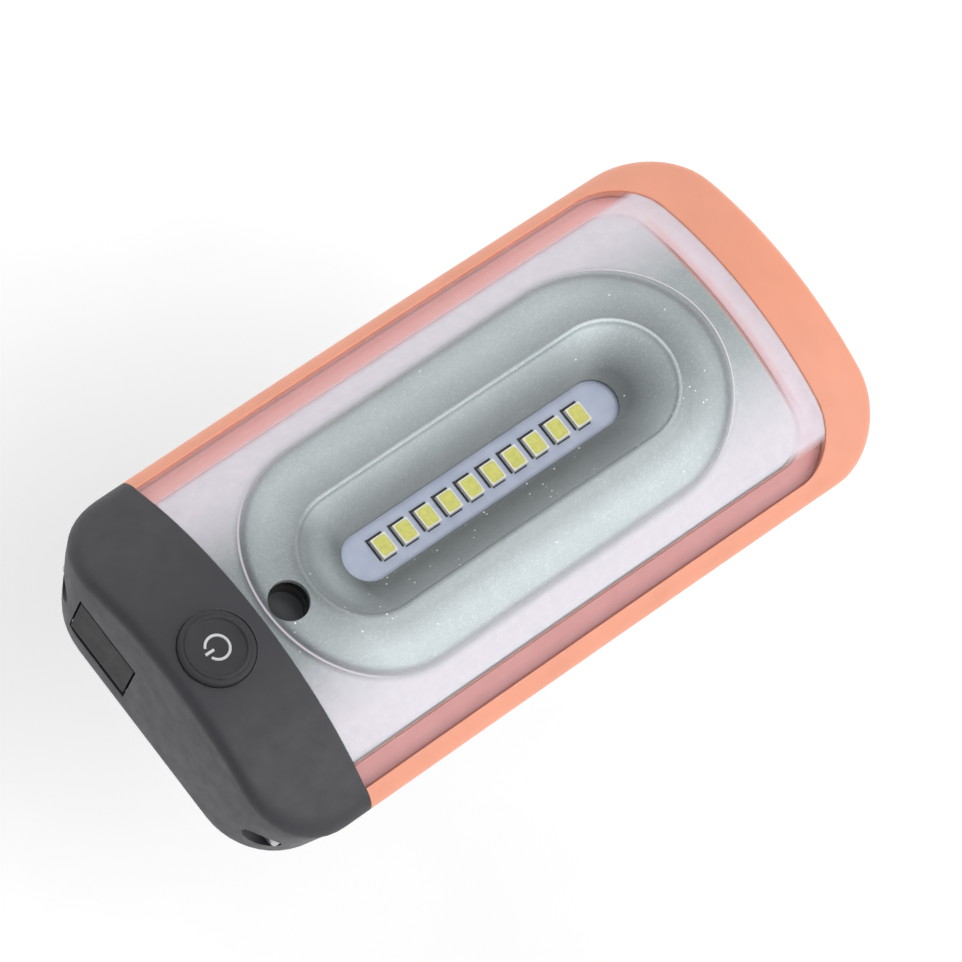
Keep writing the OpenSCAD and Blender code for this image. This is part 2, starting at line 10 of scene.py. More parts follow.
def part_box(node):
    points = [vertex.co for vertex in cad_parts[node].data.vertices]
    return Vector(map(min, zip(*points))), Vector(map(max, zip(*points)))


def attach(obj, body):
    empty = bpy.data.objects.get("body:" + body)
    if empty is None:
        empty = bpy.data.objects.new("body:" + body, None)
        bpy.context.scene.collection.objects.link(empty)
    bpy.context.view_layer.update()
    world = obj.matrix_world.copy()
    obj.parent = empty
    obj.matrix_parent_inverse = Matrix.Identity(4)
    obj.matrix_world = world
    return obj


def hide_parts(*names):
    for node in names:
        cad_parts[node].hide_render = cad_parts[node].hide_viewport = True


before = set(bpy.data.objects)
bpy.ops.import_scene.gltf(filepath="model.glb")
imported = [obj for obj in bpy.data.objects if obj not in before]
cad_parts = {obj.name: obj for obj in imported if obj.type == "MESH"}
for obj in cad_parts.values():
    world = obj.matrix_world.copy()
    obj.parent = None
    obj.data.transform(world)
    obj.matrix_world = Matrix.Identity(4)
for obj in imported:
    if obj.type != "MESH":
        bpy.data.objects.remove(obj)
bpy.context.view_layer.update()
random.seed(7)

# ---------------------------------------------------------------- driving sizes

MM = 0.001
CASE_LOW, CASE_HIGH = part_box("housing")
CAP_LOW, CAP_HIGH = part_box("end_cap")
COVER_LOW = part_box("back_cover")[0]
LENS_LOW, LENS_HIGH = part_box("lens")
REFLECTOR_LOW, REFLECTOR_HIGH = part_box("reflector")
BOARD_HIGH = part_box("led_board")[1]
WINDOW_LOW, WINDOW_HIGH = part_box("indicator_window")
BUTTON_LOW, BUTTON_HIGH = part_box("power_button")
FLAP_LOW, FLAP_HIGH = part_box("port_cover")
STAND_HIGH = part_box("stand")[1]
PIN_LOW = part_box("stand_pin")[0]

HALF_WIDTH = CASE_HIGH.y
END_X = CASE_HIGH.x
JOINT_X = CASE_LOW.x
CORNER_R = 12 * MM
WALL = 2 * MM
BOTTOM = COVER_LOW.z
KEEL_R = 5 * MM
WIDEST_Z = 18.2 * MM
SIDE_DRAFT = math.radians(12)
BUTTON_ROOF = 27.4 * MM
BOARD_TOP = BOARD_HIGH.z

# The front of the light is a shallow crown: an arc across the body, swept along a much longer arc
CROWN_R = 51.6 * MM
CROWN_LONG_R = 1200 * MM
CROWN_TOP = 30.35 * MM
LENS_REACH = CROWN_R - 0.3 * MM
BUBBLE_REACH = CROWN_R + 0.58 * MM
LENS_THICK = 1.4 * MM
SEAT_REACH = CROWN_R - 2.4 * MM
PLATEAU_REACH = CROWN_R - 1.0 * MM
FLANGE_REACH = CROWN_R - 2.0 * MM

# Ovals of the front, as overall half length and half width
WINDOW = (26.75 * MM, 4.1 * MM)
RIM = (35.5 * MM, 10.7 * MM)
BUBBLE = (44.0 * MM, 20.5 * MM)
BEVEL = 1.3 * MM
RIM_LIFT = 0.22 * MM


def crown_z(x, y, reach=CROWN_R):
    """Height of the crowned surface at a given reach from the crown's centre line."""
    axis_z = CROWN_TOP - CROWN_LONG_R
    ring = CROWN_LONG_R - CROWN_R + math.sqrt(reach * reach - y * y)
    return axis_z + math.sqrt(ring * ring - x * x)


def wall_insets(z, shrink=0.0):
    """How far the side walls and the end walls stand in from their widest lines at a height."""
    bottom = BOTTOM + shrink
    keel = KEEL_R - shrink / 2
    end = keel - math.sqrt(keel ** 2 - (bottom + keel - z) ** 2) if z < bottom + keel else 0.0
    side = max(0.0, WIDEST_Z - z) * math.tan(SIDE_DRAFT)
    if z < bottom + keel * (1 - math.sin(SIDE_DRAFT)):
        flat = (WIDEST_Z - bottom) * math.tan(SIDE_DRAFT) + keel * math.tan(math.pi / 4 - SIDE_DRAFT / 2)
        side = flat - math.sqrt(max(0.0, keel ** 2 - (bottom + keel - z) ** 2))
    return side + shrink, end + shrink


# ---------------------------------------------------------------- mesh helpers

def add_object(name, mesh, body):
    """Links a mesh as a piece that rides on a body."""
    piece = bpy.data.objects.new(name, mesh)
    bpy.context.scene.collection.objects.link(piece)
    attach(piece, body)
    return piece


def finish_bmesh(bm, name, body, smooth_angle=35):
    """Turns a bmesh into a piece with outward normals and smooth shading up to an angle."""
    bmesh.ops.remove_doubles(bm, verts=bm.verts, dist=1e-7)
    bmesh.ops.recalc_face_normals(bm, faces=bm.faces)
    mesh = bpy.data.meshes.new(name)
    bm.to_mesh(mesh)
    bm.free()
    for polygon in mesh.polygons:
        polygon.use_smooth = True
    mesh.set_sharp_from_angle(angle=math.radians(smooth_angle))
    return add_object(name, mesh, body)


def loft(bm, rings, closed=True, wrap_rings=False):
    """Joins equal rings of points with quads.

    closed joins each ring's own ends, and wrap_rings joins the last ring to the first.
    """
    rows = [[bm.verts.new(p) for p in ring] for ring in rings]
    row_pairs = list(zip(rows, rows[1:]))
    if wrap_rings:
        row_pairs.append((rows[-1], rows[0]))
    count = len(rings[0])
    for near, far in row_pairs:
        for i in range(count if closed else count - 1):
            j = (i + 1) % count
            bm.faces.new((near[i], near[j], far[j], far[i]))
    return rows


ARC_STEPS = 48
SIDE_STEPS = 40


def oval_rays(spine, low_x, half):
    """Rays that leave a spine along X, as (spine fraction, angle) pairs, once round.

    Two more than the even ones hit the square corners of an outline at low_x.
    """
    corner = math.atan2(half, -(low_x + spine))
    angles = [math.pi * i / ARC_STEPS - math.pi / 2 for i in range(ARC_STEPS + 1)]
    angles = sorted(angles + [corner, -corner])
    steps = [2 * i / SIDE_STEPS for i in range(1, SIDE_STEPS)]
    rays = [(1.0, a) for a in angles]
    rays += [(1 - step, math.pi / 2) for step in steps]
    rays += [(-1.0, math.pi - a) for a in reversed(angles)]
    rays += [(-1 + step, -math.pi / 2) for step in steps]
    return rays


def oval_ring(rays, half_long, half_wide, height):
    """Points of a stadium outline, one per ray. height is a number or a function of x and y."""
    spine = half_long - half_wide
    ring = []
    for fraction, angle in rays:
        x = fraction * spine + math.cos(angle) * half_wide
        y = math.sin(angle) * half_wide
        z = height(x, y) if callable(height) else height
        ring.append(Vector((x, y, z)))
    return ring


def plan_ring(rays, spine, low_x, high_x, half, corner, height):
    """Points where the rays meet a plan outline that is square at low_x and has round corners at high_x."""
    ring = []
    for fraction, angle in rays:
        start = Vector((fraction * spine, 0))
        way = Vector((math.cos(angle), math.sin(angle)))
        reach = half / abs(way.y) if abs(way.y) > 1e-9 else 1.0
        if way.x > 1e-9:
            reach = min(reach, (high_x - start.x) / way.x)
        if way.x < -1e-9:
            reach = min(reach, (low_x - start.x) / way.x)
        point = start + way * reach
        centre = Vector((high_x - corner, math.copysign(half - corner, point.y)))
        if point.x > centre.x and abs(point.y) > half - corner:
            offset = start - centre
            b = offset.dot(way)
            point = start + way * (-b + math.sqrt(b * b - offset.length_squared + corner * corner))
        ring.append(Vector((point.x, point.y, height(point.x, point.y))))
    return ring


CORNER_STEPS = 12
END_STEPS = 16


def u_path(half, end_x, corner, side_steps, joint_x=JOINT_X, height=None):
    """Points along a U: from joint_x on the -Y side, round the end at end_x, and back on the +Y side.

    height is a number or a function of x and y.
    """
    way = 1 if end_x > joint_x else -1
    corner_x = end_x - way * corner
    side = [(joint_x + (corner_x - joint_x) * i / side_steps, -half) for i in range(side_steps)]
    turn = []
    for i in range(CORNER_STEPS + 1):
        a = math.pi / 2 * i / CORNER_STEPS
        turn.append((corner_x + way * corner * math.sin(a), -(half - corner) - corner * math.cos(a)))
    end = [(end_x, (half - corner) * (2 * i / END_STEPS - 1)) for i in range(1, END_STEPS)]
    back = [(x, -y) for x, y in reversed(side + turn)]
    points = side + turn + end + back
    return [Vector((x, y, height(x, y) if callable(height) else height)) for x, y in points]


def add_modifier(piece, kind, **settings):
    """Adds a modifier with the given settings."""
    modifier = piece.modifiers.new(kind.lower(), kind)
    for key, value in settings.items():
        setattr(modifier, key, value)
    return modifier


def cutter(name, mesh_builder, target):
    """Cuts a shape out of a piece and applies the cut."""
    bm = bmesh.new()
    mesh_builder(bm)
    bmesh.ops.recalc_face_normals(bm, faces=bm.faces)
    mesh = bpy.data.meshes.new(name)
    bm.to_mesh(mesh)
    bm.free()
    tool = bpy.data.objects.new(name, mesh)
    bpy.context.scene.collection.objects.link(tool)
    add_modifier(target, "BOOLEAN", operation="DIFFERENCE", object=tool, solver="EXACT")
    apply_modifiers(target)
    bpy.data.objects.remove(tool)


def apply_modifiers(piece):
    """Replaces a piece's mesh with its evaluated mesh and drops the modifiers."""
    bpy.context.view_layer.update()
    graph = bpy.context.evaluated_depsgraph_get()
    made = bpy.data.meshes.new_from_object(piece.evaluated_get(graph))
    piece.modifiers.clear()
    piece.data = made


def cylinder_into(bm, radius, low, high, centre, segments=64, axis="Z"):
    """Adds a closed cylinder along an axis between two heights."""
    turn = {"Z": Matrix.Identity(4), "X": Matrix.Rotation(math.pi / 2, 4, "Y"),
            "Y": Matrix.Rotation(-math.pi / 2, 4, "X")}[axis]
    middle = Vector(centre) + turn.to_3x3() @ Vector((0, 0, (low + high) / 2))
    bmesh.ops.create_cone(bm, cap_ends=True, segments=segments, radius1=radius, radius2=radius,
                          depth=high - low, matrix=Matrix.Translation(middle) @ turn)


def box_into(bm, low, high):
    """Adds a closed box between two corners."""
    low, high = Vector(low), Vector(high)
    made = bmesh.ops.create_cube(bm, size=1)
    for vertex in made["verts"]:
        for k in range(3):
            vertex.co[k] = (low[k] + high[k]) / 2 + vertex.co[k] * (high[k] - low[k])


def lathe(bm, profile, centre, segments=96):
    """Turns (radius, height) points, from axis to axis, round a vertical line through centre."""
    rings = []
    for radius, height in profile[1:-1]:
        rings.append([Vector(centre) + Vector((radius * math.cos(2 * math.pi * i / segments),
                                               radius * math.sin(2 * math.pi * i / segments), height))
                      for i in range(segments)])
    rows = loft(bm, rings)
    for row, (_, height) in ((rows[0], profile[0]), (rows[-1], profile[-1])):
        tip = bm.verts.new(Vector(centre) + Vector((0, 0, height)))
        for i in range(segments):
            bm.faces.new((row[i], row[(i + 1) % segments], tip))


# ---------------------------------------------------------------- material helpers

def srgb(red, green, blue):
    """Linear colour from 0 to 255 display values."""
    def linear(v):
        v /= 255
        return v / 12.92 if v <= 0.04045 else ((v + 0.055) / 1.055) ** 2.4
    return (linear(red), linear(green), linear(blue), 1.0)


class Shader:
    """A node material being built: short calls for the nodes this scene uses."""

    def __init__(self, name):
        self.material = bpy.data.materials.new(name)
        self.material.use_nodes = True
        self.tree = self.material.node_tree
        self.bsdf = self.tree.nodes["Principled BSDF"]
        self.output = self.tree.nodes["Material Output"]
        self.place = self.node("ShaderNodeTexCoord").outputs["Object"]

    def node(self, kind, inputs=None, **settings):
        made = self.tree.nodes.new(kind)
        for key, value in settings.items():
            setattr(made, key, value)
        for key, value in (inputs or {}).items():
            self.feed(made.inputs[key], value)
        return made

    def feed(self, socket, value):
        """Links a socket, or sets a plain value."""
        if isinstance(value, bpy.types.NodeSocket):
            self.tree.links.new(value, socket)
        else:
            socket.default_value = value

    def set(self, **values):
        """Feeds the surface shader's inputs, with underscores for spaces."""
        for key, value in values.items():
            self.feed(self.bsdf.inputs[key.replace("_", " ")], value)

    def noise(self, size, detail=3.0, rough=0.5, stretch=None):
        """Cloudy noise with features of about the given size, from 0 to 1."""
        vector = self.place
        if stretch:
            vector = self.node("ShaderNodeMapping", {"Vector": vector, "Scale": stretch}).outputs[0]
        made = self.node("ShaderNodeTexNoise",
                         {"Vector": vector, "Scale": 1 / size, "Detail": detail, "Roughness": rough})
        return made.outputs["Fac"]

    def cells(self, size):
        """Cells of about the given size: distance from each centre, and three random values a cell."""
        made = self.node("ShaderNodeTexVoronoi", {"Vector": self.place, "Scale": 1 / size})
        picks = self.node("ShaderNodeSeparateColor", {0: made.outputs["Color"]})
        return made.outputs["Distance"], picks.outputs

    def span(self, value, low, high, to_low=0.0, to_high=1.0):
        """Maps a value from one range to another, clamped."""
        made = self.node("ShaderNodeMapRange", {"Value": value, "From Min": low, "From Max": high,
                                                "To Min": to_low, "To Max": to_high})
        return made.outputs[0]

    def math(self, kind, a, b=0.0):
        return self.node("ShaderNodeMath", {0: a, 1: b}, operation=kind).outputs[0]

    def blend(self, share, a, b, kind="MIX"):
        """Mixes two colours."""
        made = self.node("ShaderNodeMix", {0: share}, data_type="RGBA", blend_type=kind)
        self.feed(made.inputs[6], a)
        self.feed(made.inputs[7], b)
        return made.outputs[2]

    def axis(self, name):
        """One coordinate of the place on the object, in metres."""
        return self.node("ShaderNodeSeparateXYZ", {0: self.place}).outputs[name]

    def out_from_spine(self, oval):
        """Distance from the spine of an oval, in metres."""
        along = self.math("ABSOLUTE", self.axis("X"))
        beyond = self.math("MAXIMUM", self.math("SUBTRACT", along, oval[0] - oval[1]), 0.0)
        across = self.axis("Y")
        across_squared = self.math("MULTIPLY", across, across)
        beyond_squared = self.math("MULTIPLY", beyond, beyond)
        return self.math("SQRT", self.math("ADD", across_squared, beyond_squared))

    def edge(self, radius):
        """1 on edges tighter than a radius and 0 on open surfaces."""
        bevelled = self.node("ShaderNodeBevel", {"Radius": radius}, samples=4).outputs[0]
        flat = self.node("ShaderNodeNewGeometry").outputs["Normal"]
        dot = self.node("ShaderNodeVectorMath", {0: bevelled, 1: flat}, operation="DOT_PRODUCT")
        return self.span(dot.outputs["Value"], 0.985, 0.80)

    def bump(self, height, depth):
        """Feeds bump of a given depth to the surface shader."""
        made = self.node("ShaderNodeBump", {"Height": height, "Distance": depth, "Strength": 1.0})
        self.feed(self.bsdf.inputs["Normal"], made.outputs[0])


def shaded(colour, factor):
    """A colour made darker or lighter by a factor."""
    return tuple(min(1.0, c * factor) for c in colour[:3]) + (1.0,)


def moulded(name, colour, rough=0.45, grain=0.35 * MM, depth=0.012 * MM, spread=0.06, wear=None):
    """Moulded plastic or rubber: fine spark grain, cloudy tone, scuffed sheen and worn edges."""
    s = Shader(name)
    tone = s.noise(9 * MM, 4)
    base = s.blend(s.span(tone, 0.3, 0.7), shaded(colour, 1 - spread), shaded(colour, 1 + spread))
    if wear:
        scuffs = s.span(s.noise(1.4 * MM, 5, 0.7), 0.45, 0.7)
        base = s.blend(s.math("MULTIPLY", s.edge(0.5 * MM), scuffs), base, wear)
    haze = s.noise(3 * MM, 5, 0.65)
    s.set(Base_Color=base, Roughness=s.span(haze, 0.3, 0.7, rough - 0.06, rough + 0.08))
    s.bump(s.noise(grain, 2, 0.6), depth)
    return s.material


def metal(name, colour, rough=0.3, brush=None, depth=0.004 * MM, tarnish=0.12):
    """Bare or plated metal with fine lines, smudges and slightly dulled patches."""
    s = Shader(name)
    smudge = s.noise(4 * MM, 5, 0.6)
    base = s.blend(s.span(smudge, 0.35, 0.75, 0, 1), colour, shaded(colour, 1 - tarnish))
    lines = s.noise(0.12 * MM, 3, 0.6, stretch=brush) if brush else s.noise(0.3 * MM, 4, 0.6)
    s.set(Base_Color=base, Metallic=1.0, Roughness=s.span(smudge, 0.3, 0.7, rough - 0.06, rough + 0.1))
    s.bump(lines, depth)
    return s.material


def reflector_painted_light(s):
    """Tone factor by place on the reflector. It stands in for the picture's light, which the dome lacks."""
    out = s.out_from_spine(RIM)
    rim = RIM[1]
    # Down the well: darker towards the foot and on the -Y wall, lighter near the +X end
    side = s.span(s.axis("Y"), -10 * MM, 10 * MM, 0.72, 1.14)
    far_end = s.span(s.axis("X"), 20 * MM, 30 * MM, 1.0, 1.45)
    well = s.math("MULTIPLY", s.span(out, WINDOW[1], rim, 0.26, 0.84), side)
    well = s.math("MULTIPLY", well, far_end)
    # The end wall by the switch is lightest at its foot instead
    switch_end = s.span(s.axis("X"), -26 * MM, -31 * MM)
    switch_wall = s.span(out, 4.5 * MM, 8.5 * MM, 0.92, 0.52)
    well = s.math("ADD", s.math("MULTIPLY", well, s.math("SUBTRACT", 1.0, switch_end)),
                  s.math("MULTIPLY", switch_wall, switch_end))
    # Round the well: lighter outwards, then darker towards the +Y side and both ends
    plateau = s.span(out, rim, rim + 5 * MM, 0.64, 1.0)
    for axis, start, end, tone in (("Y", -14, 14, 0.86), ("X", 28, 37, 0.80), ("X", -32, -42, 0.62)):
        plateau = s.math("MULTIPLY", plateau, s.span(s.axis(axis), start * MM, end * MM, 1.0, tone))
    on_plateau = s.span(out, rim - 0.1 * MM, rim + 0.2 * MM)
    return s.node("ShaderNodeMix", {0: on_plateau, 2: well, 3: plateau}).outputs[0]


def reflector_paint():
    """Satin silver paint with fine flakes, faint mottling, a few specks of dust, and painted light and
    shade by place.
    """
    s = Shader("reflector_paint")
    cloud = s.noise(6 * MM, 4, 0.6)
    base = s.blend(s.span(cloud, 0.3, 0.7), srgb(186, 194, 196), srgb(196, 203, 206))
    _, flakes = s.cells(0.16 * MM)
    base = s.blend(s.span(flakes[0], 0.80, 1.0, 0, 0.38), base, srgb(248, 251, 251))
    base = s.blend(s.span(flakes[0], 0.16, 0.0, 0, 0.20), base, srgb(150, 158, 160))
    # Painted light and shade by place, multiplied into the paint's colour
    base = s.blend(1.0, base, reflector_painted_light(s), "MULTIPLY")
    # Dust anywhere, and denser white specks in patches on the -Y wall of the well
    specked = s.math("MULTIPLY", s.span(s.axis("Y"), -11 * MM, -7 * MM),
                     s.span(s.axis("Y"), -3.8 * MM, -4.6 * MM))
    specked = s.math("MULTIPLY", specked, s.span(s.noise(9 * MM, 1), 0.38, 0.54))
    dense_speck_share = s.math("MULTIPLY", specked, 0.34)
    for size, share, radius in ((1.7 * MM, 0.09, 0.11), (0.9 * MM, dense_speck_share, 0.20)):
        distance, picks = s.cells(size)
        chosen = s.math("LESS_THAN", picks[1], share)
        speck = s.math("MULTIPLY", chosen, s.span(distance, radius, radius / 2))
        base = s.blend(speck, base, srgb(250, 250, 250))
    s.set(Base_Color=base, Metallic=0.25, Roughness=s.span(cloud, 0.3, 0.7, 0.40, 0.47))
    s.bump(s.noise(0.22 * MM, 3, 0.7), 0.010 * MM)
    return s.material


def lens_plastic():
    """Clear lens with a soft gloss, a milky border outside the raised oval, and painted highlights along
    its outer rim and at both ends of the raised oval's edge.
    """
    s = Shader("lens_plastic")
    out = s.out_from_spine(BUBBLE)
    along = s.math("ABSOLUTE", s.axis("X"))
    across = s.math("ABSOLUTE", s.axis("Y"))
    # Gloss and milk lie on the outward faces that look up, so that the hidden faces stay clear
    facing = s.node("ShaderNodeNewGeometry")
    outside = s.math("SUBTRACT", 1.0, facing.outputs["Backfacing"])
    normal = s.node("ShaderNodeSeparateXYZ", {0: facing.outputs["True Normal"]})
    front = s.math("MULTIPLY", outside, s.span(normal.outputs["Z"], 0.2, 0.5))
    # The bevel round the raised oval lets a little less light through
    bevel = s.math("MULTIPLY", s.span(out, 18.8 * MM, 19.5 * MM), s.span(out, 20.5 * MM, 20.0 * MM))
    tint = s.blend(bevel, (0.985, 0.99, 0.99, 1), (0.86, 0.865, 0.875, 1))
    clear = s.node("ShaderNodeBsdfTransparent", {"Color": tint}).outputs[0]
    gloss = s.node("ShaderNodeBsdfAnisotropic", {"Color": (1, 1, 1, 1), "Roughness": 0.06}).outputs[0]
    sheen = s.math("MULTIPLY", s.node("ShaderNodeFresnel", {"IOR": 1.33}).outputs[0], front)
    sheen = s.math("MULTIPLY", sheen, 0.55)
    glass = s.node("ShaderNodeMixShader", {0: sheen, 1: clear, 2: gloss}).outputs[0]
    # The milk thins out over the salmon seal, and a painted highlight along the rim stands in for the
    # lens's edge catching the light. Both are thinner on the -Y side only as painted shade, standing in for
    # light that the dome lacks.
    thin = s.span(s.axis("Y"), -25 * MM, 25 * MM, 0.05, 0.16)
    inner = s.span(across, 23.9 * MM, 25.2 * MM, 1.0, 0.0)
    band = s.math("MULTIPLY", s.span(out, 18.9 * MM, 21.2 * MM), s.math("MAXIMUM", inner, thin))
    # Painted highlight along the lens's outer rim, where its edge catches the light
    rim = s.math("MULTIPLY", s.span(across, 26.5 * MM, 28.3 * MM), s.math("ADD", thin, 0.10))
    sides = s.math("MAXIMUM", s.span(across, 8 * MM, 20 * MM), s.span(s.axis("X"), 46.5 * MM, 49 * MM))
    cloud = s.span(s.noise(2.5 * MM, 4, 0.6), 0.3, 0.7, 0.92, 1.06)
    milk_and_highlight = s.math("MULTIPLY", s.math("MULTIPLY", band, sides), 0.84)
    milk_and_highlight = s.math("MULTIPLY", s.math("ADD", milk_and_highlight, rim), cloud)
    # Painted highlight: a thin bright line where the raised oval's edge catches the light at both ends
    line = s.math("MULTIPLY", s.span(out, 20.05 * MM, 20.2 * MM), s.span(out, 20.5 * MM, 20.35 * MM))
    line = s.math("MULTIPLY", line, s.span(along, 26 * MM, 36 * MM, 0.0, 0.9))
    milk_and_highlight = s.math("MULTIPLY", s.math("MAXIMUM", milk_and_highlight, line), front)
    s.set(Base_Color=srgb(223, 215, 225), Roughness=0.32)
    s.bump(s.noise(1.6 * MM, 3, 0.5), 0.004 * MM)
    # The milk and the painted highlights are laid over the clear glass
    milky = s.node("ShaderNodeMixShader", {0: milk_and_highlight, 1: glass, 2: s.bsdf.outputs[0]})
    s.feed(s.output.inputs["Surface"], milky.outputs[0])
    return s.material


def board_mask():
    """Pale lavender solder mask with a hazy tone and a finely uneven surface."""
    s = Shader("board_mask")
    haze = s.noise(3 * MM, 4, 0.6)
    base = s.blend(s.span(haze, 0.3, 0.7), srgb(176, 184, 206), srgb(190, 197, 216))
    s.set(Base_Color=base, Roughness=0.38)
    s.bump(s.noise(0.35 * MM, 2, 0.5), 0.006 * MM)
    return s.material


def phosphor_gel():
    """Yellow phosphor gel with a cloudy tone and fine pale grains."""
    s = Shader("phosphor_gel")
    grains, _ = s.cells(0.09 * MM)
    cloud = s.noise(0.8 * MM, 4, 0.6)
    base = s.blend(s.span(cloud, 0.3, 0.7), srgb(200, 196, 84), srgb(224, 220, 112))
    base = s.blend(s.span(grains, 0.2, 0.6, 0, 0.25), base, srgb(240, 238, 170))
    s.set(Base_Color=base, Roughness=0.3)
    s.bump(grains, 0.012 * MM)
    return s.material


def floor_paper():
    """Plain pale floor with a faint glow. It is clear from below, so that the light's back can be seen."""
    s = Shader("floor_paper")
    tone = s.noise(60 * MM, 3, 0.5)
    base = s.blend(s.span(tone, 0.3, 0.7), srgb(246, 246, 247), srgb(250, 250, 250))
    s.set(Base_Color=base, Roughness=0.9, Emission_Color=(1.0, 1.0, 1.0, 1.0), Emission_Strength=0.16)
    below = s.node("ShaderNodeNewGeometry").outputs["Backfacing"]
    clear = s.node("ShaderNodeBsdfTransparent")
    both = s.node("ShaderNodeMixShader", {0: below, 1: s.bsdf.outputs[0], 2: clear.outputs[0]})
    s.feed(s.output.inputs["Surface"], both.outputs[0])
    return s.material


# ---------------------------------------------------------------- optics

def make_reflector():
    """Crowned silver reflector: flared well with a fine rounded rim, oval plateau, bevel and flange."""
    rays = oval_rays(BUBBLE[0] - BUBBLE[1], REFLECTOR_LOW.x, REFLECTOR_HIGH.y)
    rings = []

    def between(a, b, share):
        return tuple(p + (q - p) * share for p, q in zip(a, b))

    well_floor = BOARD_TOP + 0.25 * MM
    lip_top = BOARD_TOP + 0.75 * MM
    rings.append(oval_ring(rays, *WINDOW, well_floor))
    rings.append(oval_ring(rays, *WINDOW, lip_top))
    # Wall of the well, a little steeper towards the rim
    rim_round, rim_drop = 0.5 * MM, 0.35 * MM
    rim_inner = (RIM[0] - rim_round, RIM[1] - rim_round)
    steps = 14
    for i in range(steps + 1):
        t = i / steps
        lift = 0.22 * t + 0.78 * t ** 1.35
        oval = between((WINDOW[0] + 0.25 * MM, WINDOW[1] + 0.25 * MM), rim_inner, t)

        def wall_height(x, y, lift=lift):
            return lip_top + 0.08 * MM + (crown_z(x, y, PLATEAU_REACH) - rim_drop - lip_top) * lift

        rings.append(oval_ring(rays, *oval, wall_height))
    # Rounded rim
    for i in range(1, 6):
        a = math.pi / 2 * i / 5
        oval = (RIM[0] - rim_round * math.cos(a), RIM[1] - rim_round * math.cos(a))
        drop = rim_drop * (1 - math.sin(a))
        rings.append(oval_ring(rays, *oval,
                               lambda x, y, d=drop: crown_z(x, y, PLATEAU_REACH) + RIM_LIFT - d))
    rings.append(oval_ring(rays, RIM[0] + 0.25 * MM, RIM[1] + 0.25 * MM,
                           lambda x, y: crown_z(x, y, PLATEAU_REACH) + 0.8 * RIM_LIFT))
    rings.append(oval_ring(rays, RIM[0] + 0.6 * MM, RIM[1] + 0.6 * MM,
                           lambda x, y: crown_z(x, y, PLATEAU_REACH) - 0.08 * MM))
    edge = (BUBBLE[0] - 1.9 * MM, BUBBLE[1] - 1.9 * MM)
    for i in range(1, 7):
        rings.append(oval_ring(rays, *between((RIM[0] + 0.6 * MM, RIM[1] + 0.6 * MM), edge, i / 6),
                               lambda x, y: crown_z(x, y, PLATEAU_REACH)))
    # Soft step down to the flange
    step_wide = 2.2 * MM
    for i in range(1, 7):
        share = i / 6
        reach = PLATEAU_REACH + (FLANGE_REACH - PLATEAU_REACH) * (0.5 - 0.5 * math.cos(math.pi * share))
        rings.append(oval_ring(rays, edge[0] + step_wide * share, edge[1] + step_wide * share,
                               lambda x, y, r=reach: crown_z(x, y, r)))
    outer = dict(spine=edge[0] - edge[1], low_x=REFLECTOR_LOW.x, high_x=REFLECTOR_HIGH.x,
                 half=REFLECTOR_HIGH.y, corner=5.8 * MM)
    rings.append(plan_ring(rays, height=lambda x, y: crown_z(x, y, FLANGE_REACH), **outer))
    rings.append(plan_ring(rays, height=lambda x, y: REFLECTOR_LOW.z, **outer))
    bm = bmesh.new()
    loft(bm, rings)
    shell = finish_bmesh(bm, "reflector_shell", "case", 50)
    add_modifier(shell, "SOLIDIFY", thickness=1.0 * MM, offset=-1)
    apply_modifiers(shell)
    hole_x = (WINDOW_LOW.x + WINDOW_HIGH.x) / 2
    hole_r = 3.25 * MM
    low_z, high_z = REFLECTOR_LOW.z, REFLECTOR_HIGH.z + 4 * MM
    cutter("hole_tool", lambda b: cylinder_into(b, hole_r, low_z, high_z, (hole_x, 0, 0), 72), shell)
    shell.data.materials.clear()
    shell.data.materials.append(reflector_paint())
    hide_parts("reflector")


def make_lens():
    """Clear one-piece lens: raised oval with a fine bevel, and a milky flange down to the orange rails."""
    rays = oval_rays(BUBBLE[0] - BUBBLE[1], LENS_LOW.x, LENS_HIGH.y)
    plan = dict(spine=BUBBLE[0] - BUBBLE[1], low_x=LENS_LOW.x, high_x=LENS_HIGH.x,
                half=LENS_HIGH.y, corner=8.9 * MM)

    def flange_height(x, y):
        return crown_z(x, y, LENS_REACH)

    def bubble_height(x, y):
        return crown_z(x, y, BUBBLE_REACH)

    outline = plan_ring(rays, height=flange_height, **plan)
    foot = oval_ring(rays, *BUBBLE, flange_height)
    top = []
    for half_wide in [(BUBBLE[1] - BEVEL) * i / 10 for i in range(11)]:
        top.append(oval_ring(rays, BUBBLE[0] - BUBBLE[1] + half_wide, half_wide, bubble_height))
    for i in range(6, 0, -1):
        share = i / 7
        inset = BEVEL * share
        lift = 0.5 - 0.5 * math.cos(math.pi * share)
        top.append(oval_ring(rays, BUBBLE[0] - inset, BUBBLE[1] - inset, lambda x, y, f=lift:
                             flange_height(x, y) + (bubble_height(x, y) - flange_height(x, y)) * f))
    for i in range(9):
        ring = [q.lerp(p, i / 8) for p, q in zip(outline, foot)]
        top.append([Vector((p.x, p.y, flange_height(p.x, p.y))) for p in ring])
    # The rim, then the underside back in to the middle
    under = [[Vector((p.x, p.y, p.z - LENS_THICK)) for p in ring] for ring in reversed(top)]
    edge = [Vector((p.x, p.y, p.z - 0.3 * MM)) for p in top[-1]]
    bm = bmesh.new()
    loft(bm, top + [edge] + under)
    lens = finish_bmesh(bm, "lens_cover", "case", 60)
    lens.data.materials.append(lens_plastic())
    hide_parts("lens")


# ---------------------------------------------------------------- casing

SPLIT_Z = CASE_LOW.z
EDGE_ROUND = 2.0 * MM
EDGE_DROP = 1.7 * MM
LENS_GAP = 0.02 * MM
HARD_EDGE = math.radians(40)


